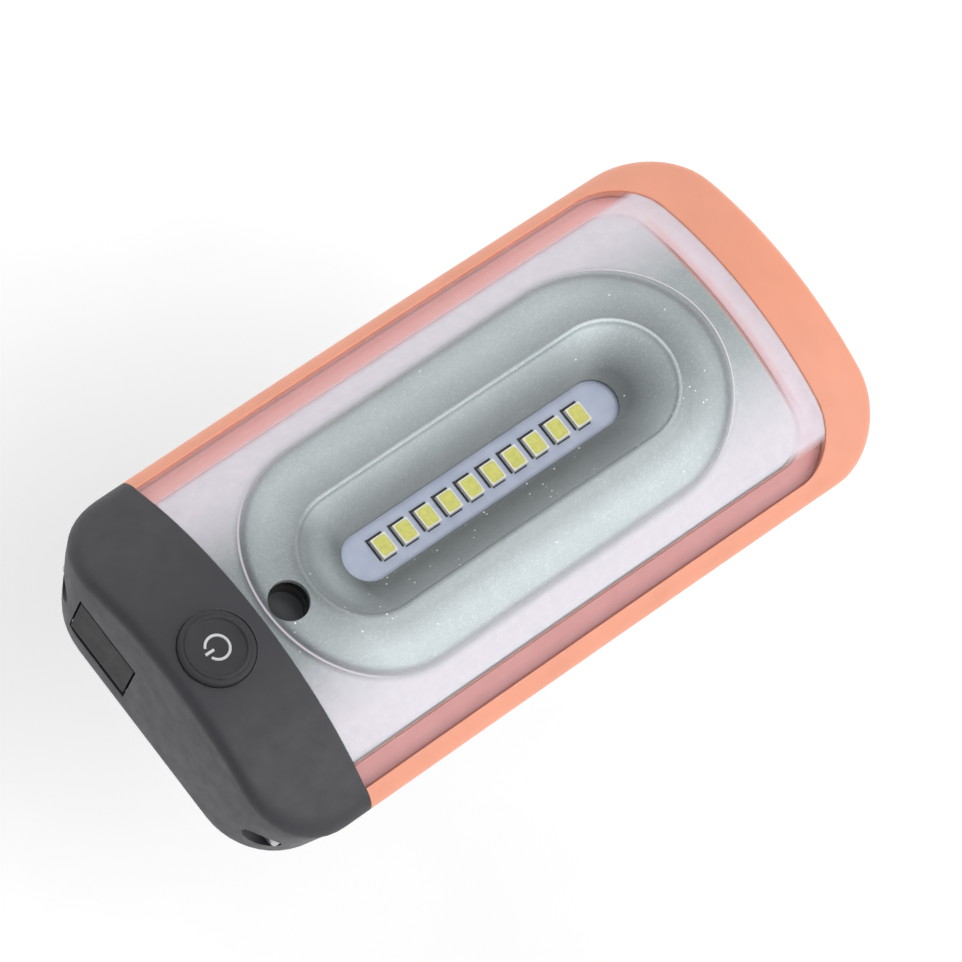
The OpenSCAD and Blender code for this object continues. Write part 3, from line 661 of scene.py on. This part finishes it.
def round_over(rows, row, base_reach, steps=7):
    """Adds rows that roll from the wall onto the crown. row(inset, height) makes one row."""
    for i in range(steps + 1):
        a = math.pi / 2 * i / steps
        inset = EDGE_ROUND * (1 - math.cos(a))
        drop = EDGE_DROP * (1 - math.sin(a))
        rows.append(row(inset, lambda x, y, d=drop: crown_z(x, y, base_reach) - d))


def cap_ends(bm, rows):
    """Closes both open ends of a lofted channel with one face each."""
    bm.faces.new([row[0] for row in rows])
    bm.faces.new([row[-1] for row in reversed(rows)])


def make_housing():
    """Orange case: leaning side walls, soft outer edge, bare rail, and the ledge that the lens sits on."""
    lens_side = HALF_WIDTH - LENS_HIGH.y - LENS_GAP
    lens_end = END_X - LENS_HIGH.x - LENS_GAP
    ledge_side = HALF_WIDTH - REFLECTOR_HIGH.y - 0.3 * MM
    ledge_end = END_X - REFLECTOR_HIGH.x - 0.2 * MM
    lens_corner = 9 * MM
    ledge_corner = 6 * MM
    ledge_thick = 1.8 * MM
    side_steps = 26

    def row(side, end, corner, height):
        return u_path(HALF_WIDTH - side, END_X - end, corner, side_steps, height=height)

    def even(inset, height):
        return row(inset, inset, CORNER_R - inset, height)

    def wall_row(z, inset):
        side, end = wall_insets(z)
        return row(side + inset, end + inset, CORNER_R - inset, z)

    def crown(drop, reach=CROWN_R):
        return lambda x, y: crown_z(x, y, reach) - drop

    rows = [wall_row(SPLIT_Z, WALL), wall_row(SPLIT_Z, 0.3 * MM),
            wall_row(SPLIT_Z + 0.08 * MM, 0.08 * MM), wall_row(SPLIT_Z + 0.3 * MM, 0),
            wall_row(WIDEST_Z - 2 * MM, 0), wall_row(WIDEST_Z - 0.4 * MM, 0)]
    round_over(rows, even, CROWN_R)
    # Rolled inner edge of the bare rail
    for back_mm, drop_mm in ((0.30, 0.0), (0.14, 0.02), (0.04, 0.08), (0.0, 0.18)):
        back = back_mm * MM
        rows.append(row(lens_side - back, lens_end - back, lens_corner + back, crown(drop_mm * MM)))
    rows.append(row(lens_side, lens_end, lens_corner, crown(0, SEAT_REACH)))
    rows.append(row(ledge_side, ledge_end, ledge_corner, crown(0, SEAT_REACH)))
    rows.append(row(ledge_side, ledge_end, ledge_corner, crown(ledge_thick, SEAT_REACH)))
    rows.append(even(2 * WALL, crown(WALL, SEAT_REACH)))
    bm = bmesh.new()
    made = loft(bm, rows, closed=False, wrap_rings=True)
    cap_ends(bm, made)
    shell = finish_bmesh(bm, "housing_shell", "case", 40)
    shell.data.materials.append(moulded("orange_case", srgb(236, 157, 128), rough=0.42, grain=0.3 * MM,
                                        depth=0.008 * MM, spread=0.04, wear=srgb(246, 196, 168)))
    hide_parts("housing")


def cap_solid(bm, shrink, end_extra, joint_x):
    """The switch end as one closed solid, shrunk all round and by a little more at the end wall."""
    bottom = BOTTOM + shrink
    keel = KEEL_R - shrink / 2
    steps = 22
    low_x = CAP_LOW.x + end_extra

    def row(side, end, height, share=0.0):
        half = (HALF_WIDTH - side) * (1 - share)
        end_x = low_x + end + (joint_x - low_x - end) * share
        corner = max((CORNER_R - shrink) * (1 - share), 1e-5)
        return u_path(half, end_x, min(corner, half, joint_x - end_x), steps, joint_x, height)

    def crown(x, y):
        return crown_z(x, y, CROWN_R - shrink)

    side, end = wall_insets(bottom + 1e-7, shrink)
    rows = [row(side, end, bottom, share / 8) for share in range(8, 0, -1)]
    for i in range(9):
        z = bottom + max(1e-7, keel * (1 - math.cos(math.pi / 2 * i / 8)))
        rows.append(row(*wall_insets(z, shrink), z))
    rows.append(row(*wall_insets(WIDEST_Z - 2 * MM, shrink), WIDEST_Z - 2 * MM))
    round_over(rows, lambda d, height: row(shrink + d, shrink + d, height), CROWN_R - shrink)
    rows += [row(shrink + EDGE_ROUND, shrink + EDGE_ROUND, crown, share / 12) for share in range(1, 13)]
    made = loft(bm, rows, closed=False)
    cap_ends(bm, made)
    bmesh.ops.remove_doubles(bm, verts=bm.verts, dist=2e-6)
    bmesh.ops.dissolve_degenerate(bm, edges=bm.edges, dist=1e-6)


def make_end_cap():
    """Black switch end with the button's bore, the charging port's recess and two screw pockets."""
    bm = bmesh.new()
    cap_solid(bm, 0.0, 0.0, CAP_HIGH.x)
    cap = finish_bmesh(bm, "end_cap_shell", "case", 40)
    thick_end = 3.6 * MM
    cutter("hollow_tool", lambda b: cap_solid(b, WALL, thick_end, CAP_HIGH.x + 1 * MM), cap)
    centre = (BUTTON_LOW + BUTTON_HIGH) / 2
    collar = (BUTTON_HIGH.y - BUTTON_LOW.y) / 2
    gap = 0.4 * MM
    port_gap = 0.6 * MM
    port_depth = 9 * MM

    def button_tool(b):
        cylinder_into(b, collar - 0.9 * MM, BUTTON_ROOF - 8 * MM, CAP_HIGH.z + 2 * MM, (centre.x, 0, 0), 96)

    def collar_tool(b):
        cylinder_into(b, collar + 0.3 * MM, BUTTON_ROOF - 9 * MM, BUTTON_ROOF, (centre.x, 0, 0), 96)

    def recess_tool(b):
        box_into(b, (CAP_LOW.x - 1 * MM, FLAP_LOW.y - gap, FLAP_LOW.z - 0.3 * MM),
                 (FLAP_LOW.x + 1.6 * MM, FLAP_HIGH.y + gap, FLAP_HIGH.z + gap))

    def port_tool(b):
        low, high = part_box("usb_port")
        box_into(b, (CAP_LOW.x, low.y - port_gap, low.z - port_gap),
                 (CAP_LOW.x + port_depth, high.y + port_gap, high.z + port_gap))

    def barrel_tool(b):
        cylinder_into(b, 1.3 * MM, FLAP_LOW.y - gap, FLAP_HIGH.y + gap,
                      (FLAP_LOW.x + 1 * MM, 0, FLAP_LOW.z + 1 * MM), 48, "Y")

    for tool in (button_tool, collar_tool, recess_tool, barrel_tool, port_tool):
        cutter(tool.__name__, tool, cap)
    low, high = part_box("end_cap_screws")
    screw_y = high.y - 2.3 * MM
    for side in (-1, 1):
        cutter("screw_tool", lambda b, s=side: cylinder_into(
            b, 2.6 * MM, CAP_LOW.x - 1 * MM, low.x + 1.7 * MM,
            (0, s * screw_y, (low.z + high.z) / 2), 48, "X"), cap)
    soften(cap, 0.3 * MM)
    cap.data.materials.clear()
    cap.data.materials.append(moulded("black_case", srgb(52, 52, 57), rough=0.5, grain=0.4 * MM,
                                      depth=0.016 * MM, wear=srgb(96, 96, 102)))
    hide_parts("end_cap")


def soften(piece, width):
    """Rounds a piece's hard edges a little and keeps its open surfaces smooth."""
    for polygon in piece.data.polygons:
        polygon.use_smooth = True
    piece.data.set_sharp_from_angle(angle=HARD_EDGE)
    add_modifier(piece, "BEVEL", width=width, segments=2, limit_method="ANGLE",
                 angle_limit=HARD_EDGE, harden_normals=True)


def make_button():
    """Power button: soft-edged key with a shallow dish and a raised ring, and a generic on-off mark."""
    centre = (BUTTON_LOW + BUTTON_HIGH) / 2
    collar = (BUTTON_HIGH.y - BUTTON_LOW.y) / 2
    key = collar - 1 * MM
    top = BUTTON_HIGH.z - 0.25 * MM
    flange_top = BUTTON_ROOF - 0.1 * MM
    flange_low = flange_top - 1.2 * MM
    stem_r = 2 * MM
    profile = [(0, BUTTON_LOW.z), (stem_r, BUTTON_LOW.z), (stem_r, flange_low), (collar, flange_low),
               (collar, flange_top), (key, flange_top + 0.02 * MM), (key, top - 0.9 * MM)]
    for i in range(1, 7):
        a = math.pi / 2 * i / 6
        profile.append((key - 0.6 * MM * (1 - math.cos(a)), top - 0.9 * MM + 0.6 * MM * math.sin(a)))
    for i in range(7):
        a = math.pi * i / 6
        profile.append((key - 1.25 * MM + 0.35 * MM * math.cos(a),
                        top - 0.3 * MM + 0.25 * MM * math.sin(a)))
    for share in (0.66, 0.5, 0.33, 0.16):
        profile.append((key * share, top - 0.36 * MM - 0.18 * MM * (1 - share)))
    profile.append((0, top - 0.54 * MM))
    bm = bmesh.new()
    lathe(bm, profile, (centre.x, centre.y, 0))
    button = finish_bmesh(bm, "power_key", "button", 50)
    button.data.materials.append(moulded("button_rubber", srgb(44, 44, 48), rough=0.6, grain=0.25 * MM,
                                         depth=0.012 * MM, wear=srgb(80, 80, 86)))
    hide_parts("power_button")
    mark_height = top - 0.50 * MM

    def mark_ring(radius, half, height, start, sweep, steps):
        rings = []
        for i in range(steps + 1):
            a = start + sweep * i / steps
            out = Vector((math.cos(a), math.sin(a), 0))
            middle = Vector((centre.x, centre.y, mark_height)) + out * radius
            up = Vector((0, 0, height))
            rings.append([middle - out * half, middle - out * half * 0.7 + up,
                          middle + out * half * 0.7 + up, middle + out * half])
        return rings

    bm = bmesh.new()
    rows = loft(bm, mark_ring(1.9 * MM, 0.24 * MM, 0.2 * MM, math.radians(205), math.radians(310), 48))
    bm.faces.new(rows[0])
    bm.faces.new(list(reversed(rows[-1])))
    bar_ends = [Vector((centre.x - d * MM, centre.y, mark_height)) for d in (0.7, 2.3)]
    section = [Vector((0, side * 0.24 * MM, height * MM))
               for side, height in ((-1, 0), (-0.7, 0.2), (0.7, 0.2), (1, 0))]
    rows = loft(bm, [[end + corner for corner in section] for end in bar_ends])
    bm.faces.new(rows[0])
    bm.faces.new(list(reversed(rows[-1])))
    mark = finish_bmesh(bm, "on_off_mark", "button", 30)
    mark.data.materials.append(moulded("mark_print", srgb(205, 206, 208), rough=0.5, grain=0.1 * MM,
                                       depth=0.004 * MM))


def make_board_marks():
    """Dark outlines beside each LED: a bar towards the switch end and thin ones above and below."""
    low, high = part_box("led_packages")
    half_x, half_y = 1.4 * MM, high.y
    count = 10
    pitch = (high.x - low.x - 2 * half_x) / (count - 1)
    bm = bmesh.new()
    for i in range(count):
        x = low.x + half_x + i * pitch
        wobble = random.uniform(-0.06, 0.06) * MM
        bars = ((-half_x - 0.42 * MM, -half_x - 0.06 * MM, -half_y + 0.1 * MM + wobble, half_y + 0.58 * MM),
                (-half_x - 0.06 * MM, half_x - 0.10 * MM + wobble, half_y + 0.10 * MM, half_y + 0.52 * MM),
                (-half_x + 0.1 * MM, half_x - 0.25 * MM - wobble, -half_y - 0.30 * MM, -half_y - 0.06 * MM))
        for x0, x1, y0, y1 in bars:
            box_into(bm, (x + x0, y0, BOARD_TOP), (x + x1, y1, BOARD_TOP + 0.03 * MM))
    marks = finish_bmesh(bm, "board_marks", "case", 30)
    s = Shader("dark_led_marks")
    s.set(Base_Color=s.blend(s.noise(0.5 * MM, 3), srgb(24, 24, 28), srgb(58, 58, 62)),
          Roughness=s.span(s.noise(0.6 * MM, 3), 0.3, 0.7, 0.35, 0.6))
    marks.data.materials.append(s.material)


# ---------------------------------------------------------------- CAD nodes that keep their shape

def dress(node, material, width=None):
    """Gives a CAD node its material and, if asked, softly rounded edges."""
    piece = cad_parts[node]
    piece.data.materials.clear()
    piece.data.materials.append(material)
    if width:
        add_modifier(piece, "WELD", merge_threshold=1e-6)
        add_modifier(piece, "BEVEL", width=width, segments=2, limit_method="ANGLE",
                     angle_limit=HARD_EDGE, harden_normals=True, use_clamp_overlap=True)


def dress_all():
    """Materials for everything that stays as the CAD drew it."""
    black = moulded("black_shell", srgb(50, 50, 54), rough=0.52, grain=0.45 * MM, depth=0.02 * MM,
                    wear=srgb(92, 92, 98))
    stand_plastic = moulded("stand_plastic", srgb(46, 46, 50), rough=0.48, depth=0.016 * MM,
                            wear=srgb(98, 98, 104))
    rubber = moulded("soft_rubber", srgb(38, 38, 41), rough=0.7, grain=0.22 * MM, depth=0.012 * MM)
    steel = metal("zinc_steel", srgb(190, 190, 194), rough=0.32)
    nickel = metal("nickel_plate", srgb(206, 205, 202), rough=0.18)
    wire = metal("hook_wire_steel", srgb(200, 201, 205), rough=0.2, brush=(1, 12, 12))
    plate = metal("rolled_aluminium", srgb(204, 206, 208), rough=0.34, brush=(1, 14, 1))
    green = moulded("green_board", srgb(34, 94, 62), rough=0.35, grain=0.5 * MM, depth=0.01 * MM,
                    spread=0.1)
    chips = moulded("chip_plastic", srgb(40, 40, 44), rough=0.45, grain=0.15 * MM, depth=0.006 * MM)
    white = moulded("led_white", srgb(236, 234, 222), rough=0.3, grain=0.2 * MM, depth=0.004 * MM,
                    spread=0.03)
    dress("back_cover", black, 0.25 * MM)
    dress("stand", stand_plastic, 0.3 * MM)
    dress("port_cover", rubber, 0.2 * MM)
    dress("rubber_feet", rubber, 0.3 * MM)
    dress("stand_magnets", nickel, 0.2 * MM)
    for node in ("board_screws", "case_screws", "end_cap_screws"):
        dress(node, steel, 0.1 * MM)
    for node in ("stand_pin", "port_cover_pin", "usb_port"):
        dress(node, steel)
    dress("hang_hook", wire)
    dress("heat_spreader", plate)
    dress("driver_board", green)
    dress("protection_board", green)
    dress("driver_components", chips)
    dress("switch_body", chips)
    dress("indicator_shroud", moulded("shroud_plastic", srgb(26, 26, 28), rough=0.6))
    dress("indicator_window", moulded("smoked_window", srgb(84, 86, 90), rough=0.18, depth=0.002 * MM))
    dress("indicator_led", white)
    dress("switch_plunger", moulded("plunger_red", srgb(160, 48, 40), rough=0.35))
    dress("thermal_pad", moulded("pad_grey", srgb(140, 148, 160), rough=0.8))
    dress("battery_cell", metal("pouch_foil", srgb(168, 172, 178), rough=0.42, tarnish=0.06))
    foam = moulded("pad_foam", srgb(216, 210, 194), rough=0.9, grain=0.6 * MM, depth=0.08 * MM)
    dress("battery_pad", foam)
    dress("lens_gasket", seal_rubber())
    dress("led_board", board_mask())
    dress("led_packages", white, 0.12 * MM)
    dress("led_phosphors", phosphor_gel())
    dress("cell_wires", wire_jacket("cell_jacket"))
    dress("led_wires", wire_jacket("led_jacket"))


def seal_rubber():
    """Salmon silicone. It is darker along the -Y side only to stand in for the picture's light."""
    s = Shader("salmon_seal")
    cloud = s.noise(5 * MM, 4, 0.6)
    base = s.blend(s.span(s.axis("Y"), -20 * MM, 20 * MM), srgb(208, 140, 138), srgb(238, 170, 166))
    s.set(Base_Color=s.blend(s.span(cloud, 0.3, 0.7, 0, 0.12), base, srgb(250, 214, 206)),
          Roughness=s.span(cloud, 0.3, 0.7, 0.62, 0.72))
    s.bump(s.noise(0.4 * MM, 2), 0.01 * MM)
    return s.material


def wire_jacket(name):
    """Wire insulation: red on the +Y lead and black on the -Y lead."""
    s = Shader(name)
    red_side = s.math("GREATER_THAN", s.axis("Y"), 0.0)
    s.set(Base_Color=s.blend(red_side, srgb(34, 34, 36), srgb(176, 36, 32)),
          Roughness=s.span(s.noise(1 * MM), 0.3, 0.7, 0.38, 0.5))
    s.bump(s.noise(0.4 * MM, 2), 0.01 * MM)
    return s.material


# ---------------------------------------------------------------- stage, light and camera

LEAN_X = math.radians(24.5)
LEAN_Y = math.radians(10.0)
ROW_TILT = math.radians(33.9)
CAMERA_DISTANCE = 0.86
PIXELS_PER_MM = 6.58
IMAGE_PIXELS = 962
SENSOR = 36
DOME = 0.50
# Bright patches of the studio dome: direction, half angle in degrees, strength
LIGHTS = (((0.35, -0.62, 0.70), 45, 2.1), ((0.30, 0.78, 0.55), 42, 1.1))


def make_stage():
    """Pale floor, far enough below that the opened stand and hook stay above it."""
    reach = STAND_HIGH.x - PIN_LOW.x
    floor_z = PIN_LOW.z - reach - 4 * MM
    bm = bmesh.new()
    bmesh.ops.create_grid(bm, x_segments=2, y_segments=2, size=3.0)
    mesh = bpy.data.meshes.new("floor")
    bm.to_mesh(mesh)
    bm.free()
    floor = bpy.data.objects.new("floor", mesh)
    floor.location.z = floor_z
    bpy.context.scene.collection.objects.link(floor)
    mesh.materials.append(floor_paper())


def make_light():
    """Soft white studio dome with broad brighter patches, one for each of LIGHTS."""
    world = bpy.data.worlds.new("studio")
    world.use_nodes = True
    tree = world.node_tree
    place = tree.nodes.new("ShaderNodeTexCoord").outputs["Generated"]
    dome = tree.nodes.new("ShaderNodeValue")
    dome.outputs[0].default_value = DOME
    total = dome.outputs[0]
    for direction, spread, power in LIGHTS:
        toward = tree.nodes.new("ShaderNodeVectorMath")
        toward.operation = "DOT_PRODUCT"
        toward.inputs[1].default_value = Vector(direction).normalized()
        tree.links.new(place, toward.inputs[0])
        patch = tree.nodes.new("ShaderNodeMapRange")
        patch.interpolation_type = "SMOOTHSTEP"
        patch.inputs["From Min"].default_value = math.cos(math.radians(spread))
        patch.inputs["To Max"].default_value = power
        tree.links.new(toward.outputs["Value"], patch.inputs["Value"])
        both = tree.nodes.new("ShaderNodeMath")
        tree.links.new(patch.outputs[0], both.inputs[0])
        tree.links.new(total, both.inputs[1])
        total = both.outputs[0]
    tree.links.new(total, tree.nodes["Background"].inputs[1])
    tree.nodes["Background"].inputs[0].default_value = (1.0, 1.0, 1.0, 1.0)
    bpy.context.scene.world = world


def make_camera():
    """Camera that leans towards the black end and the -Y side, with the LED row climbing to the right."""
    aim = Vector((0, 0, BOARD_TOP))
    back = Vector((-math.tan(LEAN_X), -math.tan(LEAN_Y), 1)).normalized()
    data = bpy.data.cameras.new("camera")
    data.sensor_width = SENSOR
    data.lens = SENSOR * PIXELS_PER_MM * CAMERA_DISTANCE / MM / IMAGE_PIXELS
    data.clip_start, data.clip_end = 0.05, 20
    camera = bpy.data.objects.new("camera", data)
    camera.location = aim + back * CAMERA_DISTANCE
    look = (-back).to_track_quat("-Z", "Y")
    row = look.inverted() @ Vector((1, 0, 0))
    turn = math.atan2(row.y, row.x) - ROW_TILT
    camera.rotation_mode = "QUATERNION"
    camera.rotation_quaternion = look @ Matrix.Rotation(turn, 4, "Z").to_quaternion()
    bpy.context.scene.collection.objects.link(camera)
    bpy.context.scene.camera = camera


# ---------------------------------------------------------------- build

make_reflector()
make_lens()
make_housing()
make_end_cap()
make_button()
make_board_marks()
dress_all()
make_stage()
make_light()
make_camera()
bpy.context.scene.view_settings.view_transform = "Standard"
